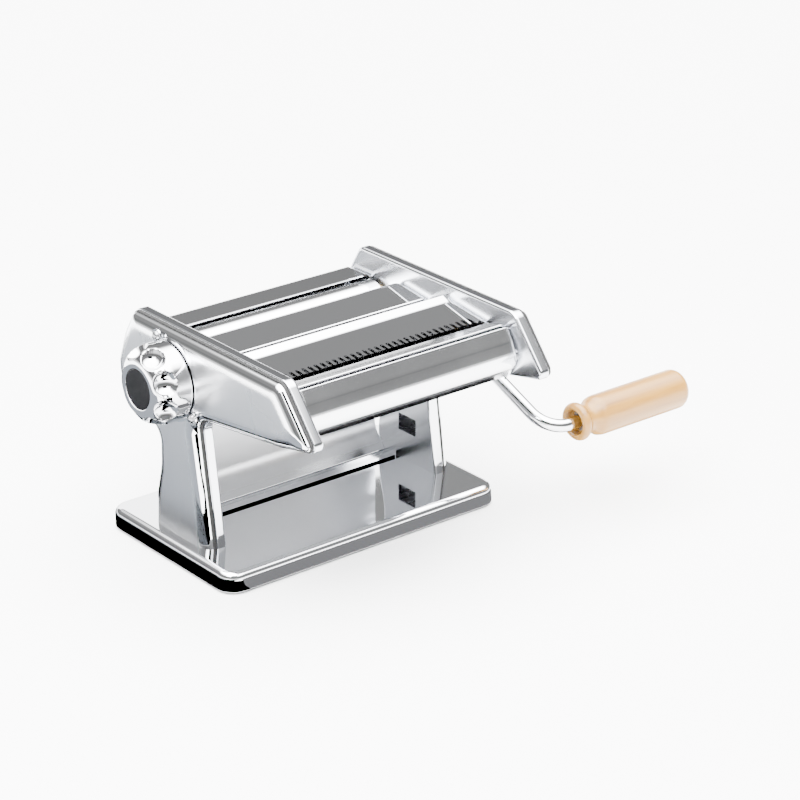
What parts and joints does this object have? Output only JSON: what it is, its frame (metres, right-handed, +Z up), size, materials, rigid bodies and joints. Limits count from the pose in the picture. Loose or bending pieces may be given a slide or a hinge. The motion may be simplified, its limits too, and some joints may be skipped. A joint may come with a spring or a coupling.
{
  "type": "pasta roller machine",
  "caption": "Chromed table-top pasta machine: smooth rollers set by a scalloped knob, noodle cutters under a slotted deck, and a crank with a wooden grip.",
  "frame": {"origin": "middle of the base tray on the table", "axes": "+X along the rollers from the knob towards the crank, -Y the way the noodles leave, +Z up"},
  "size_m": [0.3254, 0.183, 0.1397],
  "materials": {
    "chrome_sheet": "polished",
    "roller_steel": "polished",
    "tool_steel": "satin",
    "bearing_metal": "satin",
    "black_plastic": "gloss",
    "foot_rubber": "matte",
    "grip_wood": "varnished"
  },
  "bodies": {
    "root": {"base_tray": "chrome_sheet", "rubber_feet": "foot_rubber", "left_side_plate": "chrome_sheet", "right_side_plate": "chrome_sheet", "left_cover": "chrome_sheet", "right_cover": "chrome_sheet", "rear_panel": "chrome_sheet", "rear_cover": "chrome_sheet", "middle_cover": "chrome_sheet", "comb_cover": "chrome_sheet", "front_cover": "chrome_sheet", "tie_rods": "tool_steel", "tie_nuts": "tool_steel", "base_screws": "tool_steel", "seals": "foot_rubber", "roller_bushings": "bearing_metal", "cutter_bushings": "bearing_metal", "rear_scraper": "tool_steel", "wide_comb_rear": "tool_steel", "wide_comb_front": "tool_steel", "fine_comb_rear": "tool_steel", "fine_comb_front": "tool_steel", "clamp_socket": "tool_steel", "dial_plate": "chrome_sheet", "dial_screws": "tool_steel", "dial_bushing": "bearing_metal", "spring_stop": "tool_steel", "yoke_spring": "tool_steel"},
    "drive": {"drive_roller": "roller_steel", "drive_gear": "tool_steel"},
    "carriage": {"left_bearing_block": "bearing_metal", "right_bearing_block": "bearing_metal", "roller_yoke": "tool_steel", "front_scraper": "tool_steel"},
    "adjustable": {"adjustable_roller": "roller_steel", "adjustable_gear": "tool_steel"},
    "wide_drive": {"wide_cutter_drive": "tool_steel", "wide_drive_gear": "tool_steel"},
    "wide_driven": {"wide_cutter_driven": "tool_steel", "wide_driven_gear": "tool_steel"},
    "fine_drive": {"fine_cutter_drive": "tool_steel", "fine_drive_gear": "tool_steel"},
    "fine_driven": {"fine_cutter_driven": "tool_steel", "fine_driven_gear": "tool_steel"},
    "dial": {"cam_shaft": "tool_steel", "cam_screw": "tool_steel", "knob_spring": "tool_steel"},
    "knob_unit": {"knob": "chrome_sheet", "knob_cap": "black_plastic", "lock_pin": "tool_steel"},
    "crank": {"crank_rod": "roller_steel", "crank_pin": "tool_steel", "grip_clip": "tool_steel"},
    "grip": {"wooden_grip": "grip_wood", "grip_sleeve": "tool_steel"}
  },
  "joints": [
    {"name": "drive_spin", "type": "hinge", "parent": "root", "child": "drive", "pos_m": [0, 0.0278, 0.111], "axis": [1, 0, 0], "continuous": true},
    {"name": "crank_withdraw", "type": "slide", "parent": "drive", "child": "crank", "axis": [1, 0, 0], "range_m": [0, 0.02]},
    {"name": "grip_spin", "type": "hinge", "parent": "crank", "child": "grip", "pos_m": [0.16, -0.09831, 0.05876], "axis": [1, 0, 0], "continuous": true},
    {"name": "knob_turn", "type": "hinge", "parent": "root", "child": "dial", "pos_m": [-0.09, 0.0015, 0.111], "axis": [1, 0, 0], "range_deg": [0, 150]},
    {"name": "knob_pull", "type": "slide", "parent": "dial", "child": "knob_unit", "axis": [-1, 0, 0], "range_m": [0, 0.005], "stiffness_N_per_m": 800, "springref_m": -0.004, "deforming": ["knob_spring"]},
    {"name": "roller_gap", "type": "slide", "parent": "root", "child": "carriage", "axis": [0, -1, 0], "range_m": [0, 0.0027], "deforming": ["yoke_spring"]},
    {"name": "adjustable_spin", "type": "hinge", "parent": "carriage", "child": "adjustable", "pos_m": [0, 0.0015, 0.111], "axis": [1, 0, 0], "continuous": true},
    {"name": "wide_spin", "type": "hinge", "parent": "root", "child": "wide_drive", "pos_m": [0, -0.0396, 0.112], "axis": [1, 0, 0], "continuous": true},
    {"name": "wide_follow_spin", "type": "hinge", "parent": "root", "child": "wide_driven", "pos_m": [0, -0.0234, 0.112], "axis": [1, 0, 0], "continuous": true},
    {"name": "fine_spin", "type": "hinge", "parent": "root", "child": "fine_drive", "pos_m": [0, -0.0801, 0.112], "axis": [1, 0, 0], "continuous": true},
    {"name": "fine_follow_spin", "type": "hinge", "parent": "root", "child": "fine_driven", "pos_m": [0, -0.0639, 0.112], "axis": [1, 0, 0], "continuous": true}
  ],
  "couplings": [
    {"joint": "adjustable_spin", "follows": "drive_spin", "ratio": -1},
    {"joint": "roller_gap", "follows": "knob_turn", "m_per_rad": 0.0010313},
    {"joint": "wide_follow_spin", "follows": "wide_spin", "ratio": -1},
    {"joint": "fine_follow_spin", "follows": "fine_spin", "ratio": -1}
  ]
}
